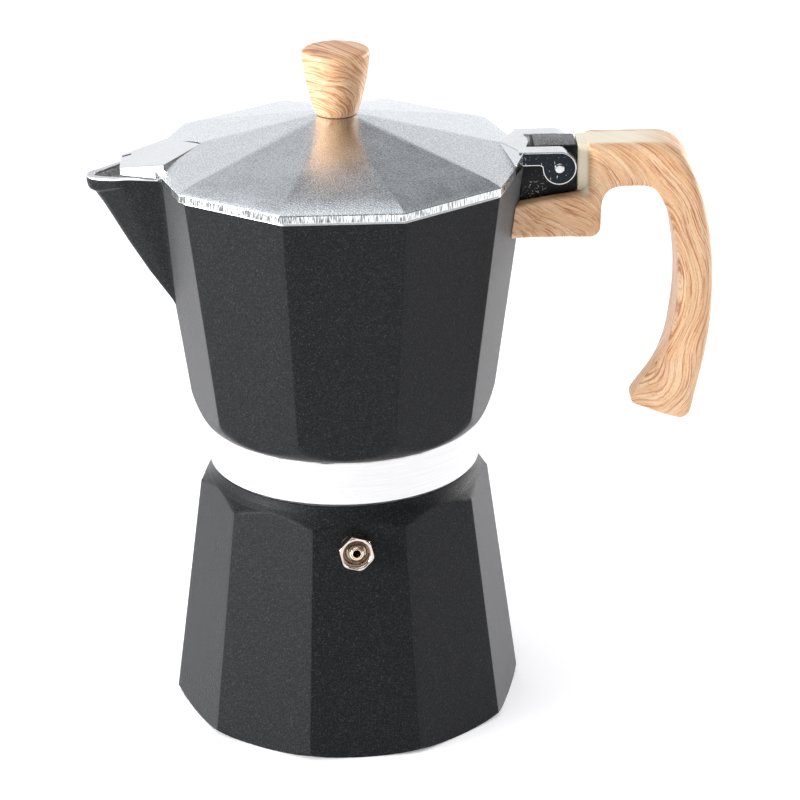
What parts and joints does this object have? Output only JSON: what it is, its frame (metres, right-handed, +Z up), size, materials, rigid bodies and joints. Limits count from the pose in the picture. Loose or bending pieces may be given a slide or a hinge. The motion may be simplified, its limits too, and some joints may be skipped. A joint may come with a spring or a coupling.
{
  "type": "stovetop moka pot",
  "caption": "Ten-sided black stovetop moka pot with a bare band, hinged lid, wood-grain knob and side handle.",
  "frame": {"origin": "on the boiler's axis, at the middle of the flat face the pot stands on", "axes": "+Z up, +X towards the handle, -X towards the spout, so the lid's hinge pin lies along Y"},
  "size_m": [0.1795, 0.1052, 0.2002],
  "materials": {
    "black_coat": "satin black coat with a fine sparkle",
    "polished_lid": "brushed and polished, with a fine grain",
    "bare_aluminium": "matt polished",
    "steel": "satin",
    "nickel": "bright plated",
    "brass": "turned",
    "gasket_rubber": "matt",
    "wood_look": "satin, printed wood grain"
  },
  "bodies": {
    "boiler_body": {"boiler": "black_coat", "valve_body": "nickel", "valve_washer": "brass", "valve_seat": "brass", "valve_spring": "steel"},
    "valve_pin_body": {"valve_pin": "brass"},
    "funnel_body": {"funnel": "bare_aluminium", "funnel_sieve": "bare_aluminium"},
    "seal_body": {"gasket": "gasket_rubber"},
    "plate_body": {"filter_plate": "bare_aluminium"},
    "collector_body": {"collector": "black_coat", "riser_column": "bare_aluminium", "handle": "wood_look", "handle_screw": "steel"},
    "lid_body": {"lid": "polished_lid", "hinge_pin": "steel", "knob": "wood_look", "knob_insert": "brass", "knob_screw": "steel", "knob_washer": "steel"}
  },
  "joints": [
    {"name": "upper_lift", "type": "slide", "parent": "boiler_body", "child": "seal_body", "axis": [0, 0, 1], "range_m": [0, 0.18]},
    {"name": "thread_rise", "type": "slide", "parent": "seal_body", "child": "plate_body", "axis": [0, 0, 1], "range_m": [0, 0.0046]},
    {"name": "unscrew", "type": "hinge", "parent": "plate_body", "child": "collector_body", "pos_m": [0, 0, 0.088], "axis": [0, 0, 1], "range_deg": [0, 540]},
    {"name": "funnel_lift", "type": "slide", "parent": "boiler_body", "child": "funnel_body", "axis": [0, 0, 1], "range_m": [0, 0.091]},
    {"name": "lid_hinge", "type": "hinge", "parent": "collector_body", "child": "lid_body", "pos_m": [0.0622, 0, 0.1669], "axis": [0, 1, 0], "range_deg": [0, 105]},
    {"name": "valve_slide", "type": "slide", "parent": "boiler_body", "child": "valve_pin_body", "axis": [0.0726, -0.9892, 0.1273], "range_m": [0, 0.0012], "stiffness_N_per_m": 3000, "springref_m": -0.002, "deforming": ["valve_spring"]}
  ],
  "couplings": [
    {"joint": "thread_rise", "follows": "unscrew", "m_per_rad": 0.00047746},
    {"joint": "funnel_lift", "follows": "upper_lift", "ratio": 0.5}
  ]
}
